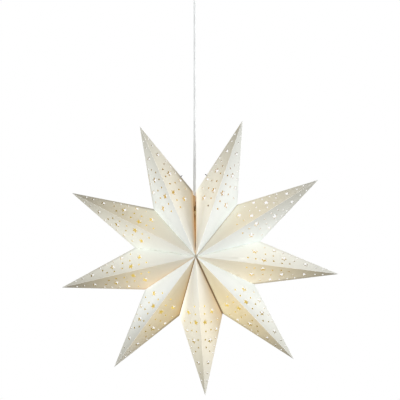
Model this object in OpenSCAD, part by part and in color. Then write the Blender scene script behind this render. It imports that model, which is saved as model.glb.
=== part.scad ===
// Paper star lantern, hanging on its cord from a ceiling rose. Millimetres.
// The ceiling is the plane z = 0 and the cord hangs down the z axis. The front looks along -Y.

/* [Paper star] */
// Radius from the centre to the tip of a point
tip_r = 300; // [270:1:330]
// Radius from the centre to the notch between two points
notch_r = 135.5; // [130:0.5:142]
// Half of the star's depth, at its centre
half_depth = 75; // [68:1:84]
// Angle left open at the top, between the first and the last bag
seam_gap = 3.2; // [3:0.1:3.8]
// Thickness of the paper
paper_t = 0.4; // [0.3:0.05:0.6]
// Width of the flaps along the valleys
flap_w = 10; // [7:0.5:12]
// Radius at which the flaps begin
flap_start = 12; // [8:1:20]
// Thickness of the glue between two flaps
glue_t = 0.05; // [0.03:0.01:0.1]
// Width of the glued lap that closes a bag, inside its back ridge
lap_w = 5; // [4:0.5:5.5]
// Diameter of the hole that the cut corners leave at the centre
centre_hole_d = 3.2; // [2.4:0.2:5]
// Length of the closing tab over the open seam
tab_len = 32; // [24:1:36]
// Distance from the notch to the closing tab
tab_from_notch = 9; // [8:0.5:14]
// Angle that the closing tab leans into the lantern
tab_lean = 12; // [8:1:16]
// Gap between the closing tab and the bag across the seam
tab_clear = 0.3; // [0.2:0.1:0.6]

/* [Punched holes] */
// Radius of the large punched stars
star_r = 7; // [5:0.5:7.5]
// Radius of the smaller punched stars
small_star_r = 5.5; // [4:0.5:6]
// Waist of a punched star, as a part of its radius
star_waist = 0.46; // [0.38:0.02:0.6]
// Diameter of the punched dots
dot_d = 4; // [3:0.25:4.5]

/* [Lamp holder] */
// Height of the holder's rim above the star's centre
holder_z = 37; // [36:0.5:40]
// Outer diameter of the holder's barrel
barrel_d = 28; // [27:0.5:29]
// Wall of the barrel
barrel_wall = 1.8; // [1.4:0.1:2.2]
// Length of the barrel below its flange
barrel_len = 14.9; // [14.9:0.1:16]
// Diameter of the barrel's flange
flange_d = 34; // [33:0.5:36]
// Thickness of the barrel's flange
flange_t = 1.5; // [1.2:0.1:2]
// Length of the neck above the flange, inside the cap
neck_len = 12.6; // [12:0.1:14]
// Height of the cap
cap_h = 34; // [32:0.5:35]
// Wall of the cap
cap_wall = 2; // [1.6:0.1:2.4]
// Play between parts that screw or slide together
fit_clear = 0.15; // [0.1:0.05:0.25]
// Outer diameter of the shade ring
ring_d = 38; // [36:0.5:40]
// Height of the shade ring
ring_h = 6; // [5:0.5:6.5]
// Inner diameter of the threaded shell
shell_d = 14.2; // [14:0.1:14.6]
// Wall of the threaded shell
shell_wall = 0.4; // [0.3:0.05:0.6]
// Thickness of the insert that carries the contacts
insert_t = 7; // [6:0.5:8]
// Diameter of the terminal screws' heads
terminal_d = 4; // [3:0.5:4.5]
// Distance of the terminal screws from the axis
terminal_x = 6.5; // [6:0.5:7]

/* [Bulb] */
// Diameter of the bulb
bulb_d = 45; // [40:1:48]
// Overall length of the bulb
bulb_len = 74; // [72:1:76]
// Diameter of the bulb's cap
bulb_cap_d = 13.6; // [13:0.1:13.8]
// Length of the bulb's cap
bulb_cap_len = 22; // [18:0.5:24]

/* [Wire bracket] */
// Diameter of the spring wire
wire_d = 1.6; // [1.2:0.1:1.8]
// Distance from the notch to the wire's hole, along the fold
bracket_along = 40; // [36:1:46]
// Length of wire that sticks out of the fold
wire_out = 4; // [3:0.5:6]
// Length of wire inside the fold, before it bends down
wire_in = 10; // [9:0.5:12]
// How far the wire's arms bow outwards under the fold
wire_bow = 4; // [3:0.5:5]
// Play of the wire in its hole in the paper
wire_clear = 0.3; // [0.2:0.05:0.5]

/* [Cord] */
// Diameter of the cord
cord_d = 5.5; // [5:0.25:6]
// Diameter of one insulated core of the cord
core_d = 2; // [1.8:0.1:2.2]
// Play of the cord in the notch of the flaps
cord_clear = 1.5; // [1:0.25:2]

/* [Ceiling rose] */
// Diameter of the rose's cup
cup_d = 92; // [86:1:100]
// Height of the rose's cup
cup_h = 55; // [50:1:58]
// Height of the cup's straight rim
cup_rim_h = 16; // [14:0.5:18]
// Wall of the rose's cup
cup_wall = 2.2; // [1.8:0.1:2.6]
// Diameter of the flat under the cup
cup_flat_d = 30; // [24:1:34]
// Distance between the two ceiling screws
screw_pitch = 60; // [54:1:64]
// Diameter of the holes for the ceiling screws
screw_hole_d = 4.5; // [4:0.25:5.5]
// Width of the mounting strap
strap_w = 14; // [12:1:16]
// Thickness of the mounting strap
strap_t = 1.5; // [1:0.25:2]
// Length of the strap's bent ends
strap_leg = 13; // [12:0.5:15]
// Distance of the cup's side screws below the ceiling
side_screw_z = 8; // [7:0.5:8.5]
// Diameter of the cup's side screws
side_screw_d = 4; // [3.5:0.25:4.5]
// Diameter of the thread of the cord grips
grip_d = 10; // [9.5:0.25:10.5]
// Diameter of the bore through the cord grips
grip_bore_d = 4.8; // [4.6:0.1:4.9]

/* [Hidden] */
point_count = 9;
eps = 0.01;
// Distance from the ceiling to the notch that the cord enters, and the star's lean seen from the front
hang_drop = 490;
hang_lean = 3;
// Angles that follow from the star's outline
sector = (360 - seam_gap) / point_count;
half_sector = sector / 2;
bag_shift = glue_t / (2 * sin(half_sector));

// Corners of one bag, its tip up the z axis and its front towards -Y
front_pt = [0, -half_depth, 0];
back_pt = [0, half_depth, 0];
tip_pt = [0, 0, tip_r];
notch_right = [notch_r * sin(half_sector), 0, notch_r * cos(half_sector)];
notch_left = [-notch_right[0], 0, notch_right[2]];

// A bag's front ridge and the tilt of a panel about it
ridge_lean = atan(half_depth / tip_r);
ridge_len = norm(tip_pt - front_pt);
panel_tilt = atan2((half_depth * tip_r - half_depth * notch_right[2]) / ridge_len, notch_right[0]);
// The valley edge, from the centre to the notch
valley_len = norm([half_depth, notch_r]);
valley_lean = atan(half_depth / notch_r);

// Where the punch strikes a panel: distance along the ridge, distance from it, turn of the star
large_stars = [[128, 33, 10], [147, 13, 50], [191, 23, 28]];
small_stars = [[171, 42, 65], [238, 14, 0]];
dots = [[112, 14], [129, 13], [151, 29], [150, 47], [168, 13], [168, 27], [186, 10], [203, 11],
    [214, 20], [190, 38], [206, 33], [221, 28], [261, 10], [277, 8]];
punch_depth = 2;
dot_sides = 12;

// Play between faces that seat on each other
seat = 0.15;

// Heights of the lamp holder, above the star's centre
flange_z = holder_z + barrel_len;
cap_z = flange_z + flange_t;
cap_top = cap_z + cap_h;
neck_top = cap_z + neck_len;
neck_d = barrel_d - 2 * fit_clear - cap_wall;
insert_d = neck_d - 2 * barrel_wall;
insert_z = neck_top - insert_t;
ring_z = flange_z - wire_d - 2 * seat - ring_h;
shell_z = holder_z + 4;
terminal_h = 2.5;
grip_head_h = 3.8;
grip_head_d = grip_d + 4;
grip_stem = 7;
holder_grip_top = cap_top + grip_head_h;

// Heights of the bulb, whose foot presses on the contact
contact_gap = 2.2;
bulb_top = insert_z - contact_gap;
bulb_z = bulb_top - bulb_len + bulb_d / 2;

// Where the bracket's wire leaves the fold of the first bag, in the star's own frame
seam_notch = [notch_r * sin(seam_gap / 2), 0, notch_r * cos(seam_gap / 2)];
first_tip = tip_r * [sin(seam_gap / 2 + half_sector), 0, cos(seam_gap / 2 + half_sector)];
fold_dir = unit(first_tip - seam_notch);
fold_out = [-fold_dir[2], 0, fold_dir[0]];
fold_pt = seam_notch + bracket_along * fold_dir;
wire_z = flange_z - wire_d / 2 - seat;
wire_loop_r = barrel_d / 2 + wire_d / 2 + seat;

// The ceiling rose
cup_inner_r = cup_d / 2 - cup_wall;
leg_x = sqrt(pow(cup_inner_r, 2) - pow(strap_w / 2, 2)) - seat;
nut_h = 4;
rose_grip_h = 12;
block_size = [22, 13, 12];
block_screw_d = 3;

// The cord, from the rose's grip to the holder's grip, and its two cores at both ends
cord_route = [[0, 0, -67], [0, 0, -300], [0, 0, -478], [0.15, 0, -490], [0.6, 0, -502],
    [1.3, 0, -514.8], [2.32, 0, -534.2]];
cord_sides = 8;
cord_ring_step = 2.5 * cord_d;
core_sides = 8;

// Vectors and planes. A plane is its unit normal and its distance from the origin.
function unit(v) = v / norm(v);
function plane(a, b, c) = let (n = unit(cross(b - a, c - a))) [n, n * a];
function moved(p, t) = [p[0], p[1] + t];
function meet(p, q, r) =
    (p[1] * cross(q[0], r[0]) + q[1] * cross(r[0], p[0]) + r[1] * cross(p[0], q[0]))
    / (p[0] * cross(q[0], r[0]));

// One pass of corner cutting, which rounds the bends of a route and keeps its ends
function softened(pts) = [
    pts[0],
    for (i = [0 : len(pts) - 2]) each [pts[i] * 0.75 + pts[i + 1] * 0.25, pts[i] * 0.25 + pts[i + 1] * 0.75],
    pts[len(pts) - 1]
];

// The same route with points added, so that none lie further apart than the step
function spaced(pts, step) = [
    for (i = [0 : len(pts) - 2])
        let (stretch = pts[i + 1] - pts[i], count = ceil(norm(stretch) / step))
        for (k = [0 : count - 1]) pts[i] + stretch * k / count,
    pts[len(pts) - 1]
];

// A round tube swept along a route, its rings carried on without twist
module sweep(pts, d, sides) {
    last = len(pts) - 1;
    tangents = [for (i = [0 : last]) unit(pts[min(i + 1, last)] - pts[max(i - 1, 0)])];
    start = unit(cross(tangents[0], abs(tangents[0][1]) < 0.9 ? [0, 1, 0] : [1, 0, 0]));
    normals = [for (i = 0, n = start; i <= last;
        i = i + 1, n = i <= last ? unit(n - (n * tangents[i]) * tangents[i]) : n) n];
    rings = [for (i = [0 : last], k = [0 : sides - 1])
        let (a = 360 * (k + 0.5) / sides)
        pts[i] + d / 2 * (cos(a) * normals[i] + sin(a) * cross(tangents[i], normals[i]))];
    walls = [for (i = [0 : last - 1], k = [0 : sides - 1])
        let (a = i * sides + k, b = i * sides + (k + 1) % sides)
        each [[a, a + sides, b], [b, a + sides, b + sides]]];
    bottom = [[for (k = [0 : sides - 1]) k]];
    top = [[for (k = [sides - 1 : -1 : 0]) last * sides + k]];
    polyhedron(rings, concat(walls, bottom, top));
}

// The star's own frame, hung from the cord: origin at the star's centre
module hung() {
    translate([0, 0, -hang_drop]) rotate([0, -hang_lean, 0]) translate([0, 0, -notch_r]) children();
}

// The solid between five corners: front, back, tip, right notch and left notch
module bipyramid(corners) {
    polyhedron(corners, [[0, 2, 3], [0, 4, 2], [1, 3, 2], [1, 2, 4], [0, 3, 1], [0, 1, 4]]);
}

// The hollow of a bag: the four panels moved in by the paper, the open sides moved out
module bag_hollow() {
    front_right = moved(plane(front_pt, notch_right, tip_pt), -paper_t);
    front_left = moved(plane(front_pt, tip_pt, notch_left), -paper_t);
    back_right = moved(plane(back_pt, tip_pt, notch_right), -paper_t);
    back_left = moved(plane(back_pt, notch_left, tip_pt), -paper_t);
    side_right = [[cos(half_sector), 0, -sin(half_sector)], 2];
    side_left = [[-cos(half_sector), 0, -sin(half_sector)], 2];
    bipyramid([
        meet(front_right, front_left, side_right), meet(back_right, back_left, side_right),
        meet(front_right, front_left, back_right), meet(front_right, back_right, side_right),
        meet(front_left, back_left, side_left)]);
}

// Flat frame of the front right panel: x away from the ridge, y along it from the centre
module on_panel() {
    translate(front_pt) rotate([-ridge_lean, 0, 0]) rotate([0, 0, panel_tilt]) rotate([90, 0, 0]) children();
}

module five_star(r, turn) {
    rotate(turn) polygon([for (i = [0 : 9])
        let (q = i % 2 == 0 ? r : r * star_waist) [q * cos(36 * i), q * sin(36 * i)]]);
}

// Everything that the punch takes out of one panel
module punches() {
    on_panel() {
        linear_extrude(height = punch_depth, center = true) {
            for (s = large_stars) translate([s[1], s[0]]) five_star(star_r, s[2]);
            for (s = small_stars) translate([s[1], s[0]]) five_star(small_star_r, s[2]);
        }
        for (p = dots) translate([p[1], p[0], 0])
            cylinder(d = dot_d, h = punch_depth, center = true, $fn = dot_sides);
    }
}

// Flat outline of a V-shaped flap, in the radial plane: x to the front, y out from the centre
module flap_outline() {
    per_mm = norm([1 / half_depth, 1 / notch_r]);
    outer = 1 - paper_t / 2 * per_mm;
    inner = 1 - flap_w * per_mm;
    x_outer = half_depth * (outer - flap_start / notch_r);
    x_inner = half_depth * (inner - flap_start / notch_r);
    polygon([[x_outer, flap_start], [0, notch_r * outer], [-x_outer, flap_start],
        [-x_inner, flap_start], [0, notch_r * inner], [x_inner, flap_start]]);
}

// The flaps at the open seam leave room for the lamp holder and the cord
module seam_flap_outline() {
    holder_room = barrel_d / 2 + cap_wall + cord_clear;
    cord_room = cord_d / 2 + cord_clear;
    difference() {
        flap_outline();
        translate([-holder_room, 0]) square([2 * holder_room, holder_grip_top + cord_clear]);
        translate([-cord_room, 0]) square([2 * cord_room, notch_r]);
    }
}

// The flap on a bag's right side, one paper thick, inside the bag
module right_flap(open_seam) {
    rotate([0, half_sector, 0]) rotate([90, 0, -90]) linear_extrude(height = paper_t)
        if (open_seam) seam_flap_outline(); else flap_outline();
}

// The tab on the last bag that covers the top of the open seam, in front of the cord
module closing_tab() {
    low = valley_len - tab_from_notch - tab_len;
    high = valley_len - tab_from_notch;
    width = 2 * (low * notch_r / valley_len) * sin(seam_gap / 2) - tab_clear;
    rotate([0, half_sector, 0]) translate(front_pt) rotate([-valley_lean, 0, 0]) rotate([0, 0, tab_lean])
        rotate([90, 0, 0]) translate([0, 0, -paper_t * 1.5]) linear_extrude(height = paper_t)
        polygon([[-paper_t, low], [width - paper_t, low + width], [width - paper_t, high - width / 2],
            [-paper_t, high]]);
}

// The lap inside the back ridge: the sheet's last edge, folded and glued under its first panel
module closing_lap() {
    low = 2 * flap_start;
    high = ridge_len - 4 * flap_w;
    mirror([0, 1, 0]) on_panel() translate([0, 0, -2 * paper_t]) linear_extrude(height = paper_t + eps)
        polygon([[paper_t, low], [lap_w, low + lap_w], [lap_w, high - lap_w], [paper_t, high]]);
}

// One folded bag, its tip up the z axis
module bag(left_open = false, right_open = false) {
    difference() {
        bipyramid([front_pt, back_pt, tip_pt, notch_right, notch_left]);
        bag_hollow();
        for (left = [false, true], back = [false, true])
            mirror([left ? 1 : 0, 0, 0]) mirror([0, back ? 1 : 0, 0]) punches();
    }
    closing_lap();
    right_flap(right_open);
    mirror([1, 0, 0]) right_flap(left_open);
    if (right_open) closing_tab();
}

// Hole through the fold for the end of the wire, on the first bag's side of the seam
module wire_hole() {
    translate(fold_pt) rotate([0, atan2(fold_out[0], fold_out[2]), 0])
        cylinder(d = wire_d + 2 * wire_clear, h = 4 * wire_d, center = true, $fn = 24);
}

// The bag with its number, clockwise from the open seam as seen from the front
module point(number) {
    color("ivory") hung() difference() {
        rotate([0, seam_gap / 2 + sector * (number - 0.5), 0]) translate([0, 0, bag_shift])
            bag(number == 1, number == point_count);
        rotate([90, 0, 0]) cylinder(d = centre_hole_d, h = 3 * half_depth, center = true, $fn = 32);
        if (number == 1) wire_hole();
        if (number == point_count) mirror([1, 0, 0]) wire_hole();
    }
}

// The spring wire: half a loop round the barrel, two arms, and their ends through the folds
module wire_bracket() {
    loop = [for (a = [0 : 15 : 180]) wire_loop_r * [cos(a), sin(a), 0] + [0, 0, wire_z]];
    arm_x = flange_d / 2 + wire_d / 2;
    under_fold = fold_pt - wire_in * fold_out;
    by_cap = [arm_x + wire_d, 0, wire_z + 0.4 * cap_h];
    arm = [fold_pt + wire_out * fold_out, fold_pt - 0.4 * wire_in * fold_out, under_fold,
        for (t = [0.1, 0.3, 0.5, 0.8]) under_fold + t * (by_cap - under_fold) + [wire_bow * (1 - t), 0, 0],
        by_cap, [arm_x + wire_d / 2, -wire_d / 3, wire_z + 2 * wire_d],
        [arm_x + wire_d / 4, -1.5 * wire_d, wire_z]];
    other_arm = [for (i = [len(arm) - 1 : -1 : 0]) [-arm[i][0], arm[i][1], arm[i][2]]];
    color("dimgray") hung() sweep(softened(concat(arm, loop, other_arm)), wire_d, 8);
}

module shade_ring() {
    color("whitesmoke") hung() translate([0, 0, ring_z]) difference() {
        cylinder(d = ring_d, h = ring_h, $fn = 64);
        translate([0, 0, -eps]) cylinder(d = barrel_d + 2 * fit_clear, h = ring_h + 2 * eps, $fn = 64);
        for (i = [0 : 15]) rotate(i * 22.5) translate([ring_d / 2 + 0.4, 0, -eps])
            cylinder(d = 3, h = ring_h + 2 * eps, $fn = 16);
    }
}

module holder_barrel() {
    outer = barrel_d / 2;
    inner = outer - barrel_wall;
    neck = neck_d / 2;
    color("white") hung() rotate_extrude($fn = 64) polygon([
        [inner, holder_z], [outer, holder_z], [outer, flange_z], [flange_d / 2, flange_z],
        [flange_d / 2, cap_z - seat], [neck, cap_z - seat], [neck, neck_top],
        [insert_d / 2 + fit_clear, neck_top], [insert_d / 2 + fit_clear, insert_z],
        [shell_d / 2 + shell_wall + 1, insert_z], [shell_d / 2 + shell_wall + 1, insert_z - 1.5],
        [inner, insert_z - 1.5]]);
}

module holder_insert() {
    color("gainsboro") hung() difference() {
        translate([0, 0, insert_z]) cylinder(d = insert_d, h = insert_t, $fn = 48);
        for (side = [-1, 1]) translate([side * terminal_x, 0, insert_z - eps])
            cylinder(d = terminal_d + 2 * fit_clear, h = insert_t + 2 * eps, $fn = 24);
        translate([0, 0, insert_z - eps]) cylinder(d = 4, h = 3, $fn = 24);
    }
}

module screw_shell() {
    color("goldenrod") hung() rotate_extrude($fn = 48) polygon([
        [shell_d / 2, shell_z], [shell_d / 2 + shell_wall, shell_z],
        [shell_d / 2 + shell_wall, insert_z - seat], [3.5, insert_z - seat],
        [3.5, insert_z - seat - shell_wall], [shell_d / 2, insert_z - seat - shell_wall]]);
}

// The sprung strip that touches the foot of the bulb
module centre_contact() {
    color("goldenrod") hung() translate([0, 0, bulb_top + seat])
        cylinder(d = 3.6, h = insert_z + 2.5 - bulb_top - seat, $fn = 24);
}

module terminal_screws() {
    color("silver") hung() for (side = [-1, 1]) translate([side * terminal_x, 0, insert_z + 1]) difference() {
        cylinder(d = terminal_d, h = insert_t - 1 + terminal_h, $fn = 24);
        translate([-terminal_d, -0.4, insert_t - 2 + terminal_h]) cube([2 * terminal_d, 0.8, 2]);
    }
}

// The two cores between the cord's end and the terminal screws
module holder_cores() {
    low = insert_z + insert_t + terminal_h + seat;
    route = [[core_d / 2 + seat, 0, holder_grip_top], [core_d / 2 + seat, 0, cap_top - 9],
        [3, 0, cap_top - 13], [terminal_x - 0.4, 0, low + 5], [terminal_x, 0, low + 2.5], [terminal_x, 0, low]];
    color("steelblue") hung() sweep(softened(route), core_d, core_sides);
    color("sienna") hung() mirror([1, 0, 0]) sweep(softened(route), core_d, core_sides);
}

module holder_cap() {
    outer = barrel_d / 2 + seat;
    top_r = grip_head_d / 2 + 1;
    bend = outer - top_r;
    color("white") hung() rotate_extrude($fn = 64) polygon([
        [neck_d / 2 + fit_clear, cap_z], [outer, cap_z],
        for (a = [0 : 15 : 90]) [top_r + bend * cos(a), cap_top - bend + bend * sin(a)],
        [grip_d / 2 + fit_clear, cap_top], [grip_d / 2 + fit_clear, cap_top - cap_wall],
        [top_r - 1, cap_top - cap_wall], [neck_d / 2 + fit_clear, cap_top - bend - 1]]);
}

// A threaded bush with a round head, which grips the cord. Its head's face is at z = 0, facing up.
module cord_grip(head_h, stem_h) {
    rotate_extrude($fn = 48) polygon([
        [grip_bore_d / 2, 0], [grip_head_d / 2 - 1, 0], [grip_head_d / 2, -1], [grip_head_d / 2, -head_h],
        [grip_d / 2, -head_h], [grip_d / 2, -head_h - stem_h], [grip_bore_d / 2, -head_h - stem_h]]);
}

module holder_grip() {
    color("whitesmoke") hung() translate([0, 0, holder_grip_top]) cord_grip(grip_head_h, grip_stem);
}

// The sealed bulb with its metal cap
module bulb() {
    r = bulb_d / 2;
    neck_r = bulb_cap_d / 2;
    cap_low = bulb_top - bulb_cap_len;
    color("seashell") hung() rotate_extrude($fn = 64) polygon([
        for (a = [-90 : 5 : 50]) [r * cos(a), bulb_z + r * sin(a)],
        [neck_r + 1.6, cap_low - 3], [neck_r, cap_low], [neck_r, bulb_top - 4],
        [2.4, bulb_top - 1], [2.4, bulb_top], [0, bulb_top]]);
}

module cord() {
    color("white") sweep(spaced(cord_route, cord_ring_step), cord_d, cord_sides);
}

// The cup of the rose: a straight rim, a rounded shoulder and a flat with the grip's hole
module rose_cup() {
    r = cup_d / 2;
    rise = cup_h - cup_rim_h;
    flat_r = cup_flat_d / 2;
    color("white") difference() {
        rotate_extrude($fn = 96) polygon([
            [cup_inner_r, 0], [r, 0],
            for (a = [0 : 6 : 90]) [flat_r + (r - flat_r) * cos(a), -cup_rim_h - rise * sin(a)],
            [grip_d / 2 + fit_clear, -cup_h], [grip_d / 2 + fit_clear, cup_wall - cup_h],
            for (a = [90 : -6 : 0])
                [flat_r + (cup_inner_r - flat_r) * cos(a), -cup_rim_h - (rise - cup_wall) * sin(a)]]);
        for (side = [-1, 1]) translate([side * r, 0, -side_screw_z]) rotate([0, 90, 0])
            cylinder(d = side_screw_d + 2 * fit_clear, h = 4 * cup_wall, center = true, $fn = 24);
    }
}

// The steel strap that the ceiling screws hold, with its two bent ends
module rose_strap() {
    color("silver") difference() {
        union() {
            translate([-leg_x, -strap_w / 2, -strap_t]) cube([2 * leg_x, strap_w, strap_t]);
            for (side = [0, 1]) mirror([side, 0, 0]) translate([leg_x - strap_t, -strap_w / 2, -strap_leg])
                cube([strap_t, strap_w, strap_leg]);
        }
        for (side = [-1, 1]) translate([side * screw_pitch / 2, 0, -strap_t / 2])
            cylinder(d = screw_hole_d, h = 2 * strap_t, center = true, $fn = 32);
        for (side = [-1, 1]) translate([side * leg_x, 0, -side_screw_z]) rotate([0, 90, 0])
            cylinder(d = side_screw_d, h = 4 * strap_t, center = true, $fn = 24);
    }
}

module side_screws() {
    head_h = 3;
    head_d = 2 * side_screw_d;
    shank = cup_d / 2 + seat - leg_x + strap_t + 2;
    color("silver") for (side = [0, 1]) mirror([side, 0, 0]) translate([cup_d / 2 + seat, 0, -side_screw_z])
        rotate([0, 90, 0]) difference() {
            union() {
                cylinder(d = head_d, h = head_h, $fn = 32);
                translate([0, 0, -shank]) cylinder(d = side_screw_d - 0.1, h = shank + eps, $fn = 24);
            }
            translate([-head_d, -0.5, head_h - 1.2]) cube([2 * head_d, 1, 2]);
        }
}

module rose_grip() {
    color("whitesmoke") translate([0, 0, -cup_h - rose_grip_h]) mirror([0, 0, 1]) cord_grip(rose_grip_h, grip_stem + 1);
}

module rose_nut() {
    color("silver") translate([0, 0, cup_wall - cup_h]) difference() {
        cylinder(d = grip_d + 8, h = nut_h, $fn = 6);
        translate([0, 0, -eps]) cylinder(d = grip_d + 0.1, h = nut_h + 2 * eps, $fn = 32);
    }
}

// The terminal block under the strap: a blind hole from below for each core, a screw hole in front
module terminal_block() {
    color("beige") translate([0, 0, -strap_t - block_size[2]]) difference() {
        translate([-block_size[0] / 2, -block_size[1] / 2, 0]) cube(block_size);
        for (side = [-1, 1]) {
            translate([side * block_size[0] / 4, 0, -eps])
                cylinder(d = core_d + 2 * fit_clear, h = block_size[2] - 2, $fn = 24);
            translate([side * block_size[0] / 4, -block_size[1] / 2, block_size[2] / 2]) rotate([90, 0, 0])
                cylinder(d = block_screw_d, h = block_size[1] / 2, center = true, $fn = 24);
        }
    }
}

// The two cores between the cord's end and the terminal block
module rose_cores() {
    x = block_size[0] / 4;
    top = -strap_t - 3;
    route = [[core_d / 2 + seat, 0, -cup_h - rose_grip_h], [core_d / 2 + seat, 0, -cup_h + 11],
        [3, 0, -cup_h + 16], [x - 0.5, 4, -26], [x, 1, -19], [x, 0, -15], [x, 0, top]];
    color("steelblue") sweep(softened(route), core_d, core_sides);
    color("sienna") mirror([1, 0, 0]) sweep(softened(route), core_d, core_sides);
}

point(1);  // point_1
point(2);  // point_2
point(3);  // point_3
point(4);  // point_4
point(5);  // point_5
point(6);  // point_6
point(7);  // point_7
point(8);  // point_8
point(9);  // point_9
wire_bracket();
shade_ring();
holder_barrel();
holder_insert();
screw_shell();
centre_contact();
terminal_screws();
holder_cores();
holder_cap();
holder_grip();
bulb();
cord();
rose_cup();
rose_strap();
side_screws();
rose_grip();
rose_nut();
terminal_block();
rose_cores();
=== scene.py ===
"""Looks of the paper star lantern: folded paper, cord, lamp holder, ceiling rose and studio."""

import logging
import math
import random
from dataclasses import dataclass
from enum import Enum
from typing import Any, Sequence, Union

import bpy
from mathutils import Matrix, Vector, noise


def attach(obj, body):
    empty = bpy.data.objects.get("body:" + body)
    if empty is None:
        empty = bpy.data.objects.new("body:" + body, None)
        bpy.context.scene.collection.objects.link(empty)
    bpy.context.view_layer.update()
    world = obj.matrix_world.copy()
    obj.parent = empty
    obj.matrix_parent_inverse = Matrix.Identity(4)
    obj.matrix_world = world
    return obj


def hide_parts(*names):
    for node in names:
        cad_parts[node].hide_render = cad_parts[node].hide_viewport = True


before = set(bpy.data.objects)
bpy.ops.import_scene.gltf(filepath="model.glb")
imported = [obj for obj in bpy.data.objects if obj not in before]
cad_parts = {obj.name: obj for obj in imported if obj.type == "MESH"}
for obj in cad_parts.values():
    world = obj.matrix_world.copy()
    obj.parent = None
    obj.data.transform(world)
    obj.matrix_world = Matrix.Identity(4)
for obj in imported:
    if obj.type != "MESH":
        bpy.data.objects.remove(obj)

LOG = logging.getLogger("star_lantern")
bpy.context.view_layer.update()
MM = 0.001
MERGE_WITHIN = 0.002 * MM
FLAT_WITHIN_DEGREES = 0.6


class Wire:
    """A shader socket on which Python's arithmetic adds Math nodes."""

    def __init__(self, shader: "Shader", socket: bpy.types.NodeSocket) -> None:
        """Wraps a socket.

        Args:
            shader: The shader whose tree holds the socket.
            socket: The output socket that carries the value.
        """
        self.shader = shader
        self.socket = socket

    def math(self, operation: str, *others: "Number") -> "Wire":
        """Adds a Math node that starts with this value.

        Args:
            operation: The Math node's operation.
            others: The node's further values.

        Returns:
            The node's result.
        """
        return self.shader.node("ShaderNodeMath", {"operation": operation}, [self, *others])

    def __add__(self, other: "Number") -> "Wire":
        """Sum."""
        return self.math("ADD", other)

    def __mul__(self, other: "Number") -> "Wire":
        """Product."""
        return self.math("MULTIPLY", other)

    def __truediv__(self, other: "Number") -> "Wire":
        """Quotient."""
        return self.math("DIVIDE", other)

    def __pow__(self, other: "Number") -> "Wire":
        """Power."""
        return self.math("POWER", other)

    def __rsub__(self, other: "Number") -> "Wire":
        """Difference, from a plain number."""
        return self.shader.node("ShaderNodeMath", {"operation": "SUBTRACT"}, [other, self])

    __radd__ = __add__
    __rmul__ = __mul__

    def ramp(self, low: float, high: float) -> "Wire":
        """Runs smoothly from 0 at one value to 1 at another.

        Args:
            low: The value that gives 0.
            high: The value that gives 1. It may be the smaller of the two.

        Returns:
            The smooth ramp.
        """
        settings = {"interpolation_type": "SMOOTHSTEP"}
        if low < high:
            return self.shader.node("ShaderNodeMapRange", settings, [self, low, high, 0.0, 1.0])
        return self.shader.node("ShaderNodeMapRange", settings, [self, high, low, 1.0, 0.0])


Number = Union[Wire, float]
Colour = tuple[float, float, float]
Place = tuple[float, float, float]
Reach = tuple[float, float]
BLACK: Colour = (0.0, 0.0, 0.0)


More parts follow.
